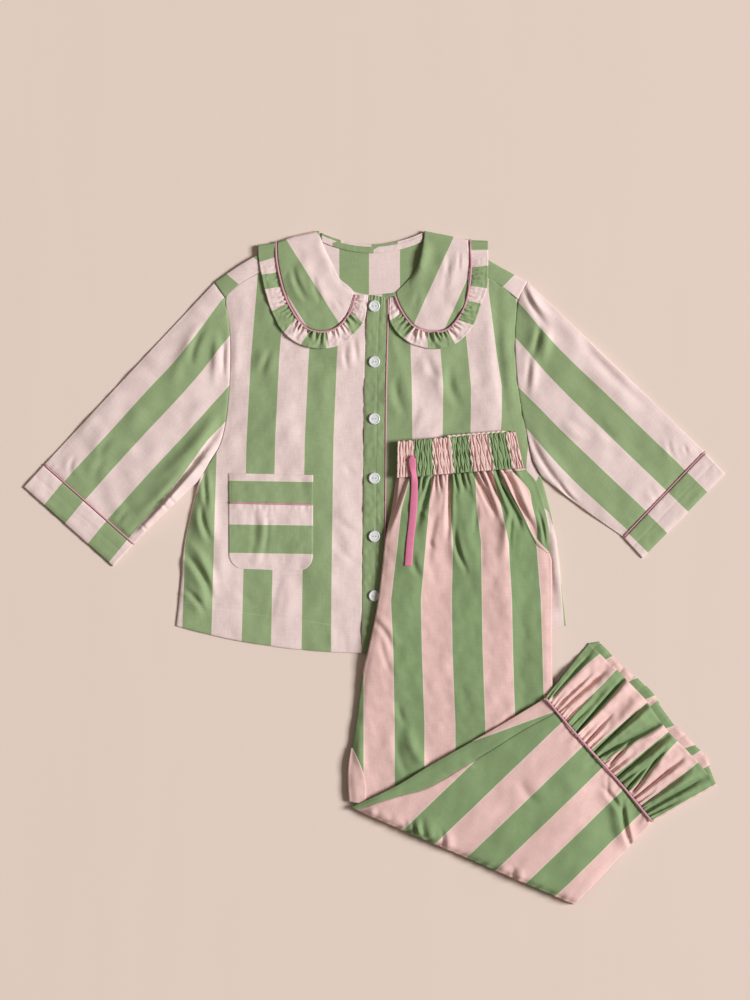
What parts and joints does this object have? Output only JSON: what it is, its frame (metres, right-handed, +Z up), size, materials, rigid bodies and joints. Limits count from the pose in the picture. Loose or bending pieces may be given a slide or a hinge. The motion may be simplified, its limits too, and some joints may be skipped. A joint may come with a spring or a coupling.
{
  "type": "pyjama set laid flat",
  "caption": "Striped pyjama shirt laid flat with a ruffled round collar, and folded trousers with a shirred waist and ruffled legs.",
  "frame": {"origin": "centre of the bounding box on the surface the set lies on", "axes": "+X to the shirt's left sleeve as seen from above, +Y towards the neck, +Z up from the surface"},
  "size_m": [1.122, 1.0755, 0.0228],
  "materials": {
    "shirt_cotton": "fine plain-weave cotton with wide sage green and pale pink stripes",
    "collar_cotton": "fine plain-weave cotton with wide sage green and pale pink stripes, cut on the slant",
    "trouser_cotton": "fine plain-weave cotton with wide sage green and pale pink stripes",
    "piping": "rose pink bias-cut cotton piping",
    "drawstring_tape": "rose pink flat cotton tape",
    "button": "white polished resin"
  },
  "bodies": {
    "root": {"shirt_back": "shirt_cotton", "shirt_front_left": "shirt_cotton", "shirt_front_right": "shirt_cotton", "sleeve_left": "shirt_cotton", "sleeve_right": "shirt_cotton", "cuff_left": "shirt_cotton", "cuff_right": "shirt_cotton", "placket": "shirt_cotton", "chest_pocket": "shirt_cotton", "collar": "collar_cotton", "collar_ruffle": "collar_cotton", "neck_binding": "collar_cotton", "collar_piping": "piping", "placket_piping": "piping", "cuff_piping_left": "piping", "cuff_piping_right": "piping", "leg_piping": "piping", "button_1": "button", "button_2": "button", "button_3": "button", "button_4": "button", "button_5": "button", "button_6": "button", "waistband": "trouser_cotton", "trousers_leg": "trouser_cotton", "trousers_layers": "trouser_cotton", "lower_leg": "trouser_cotton", "lower_leg_layers": "trouser_cotton", "leg_ruffle": "trouser_cotton", "drawstring": "drawstring_tape"}
  },
  "joints": []
}
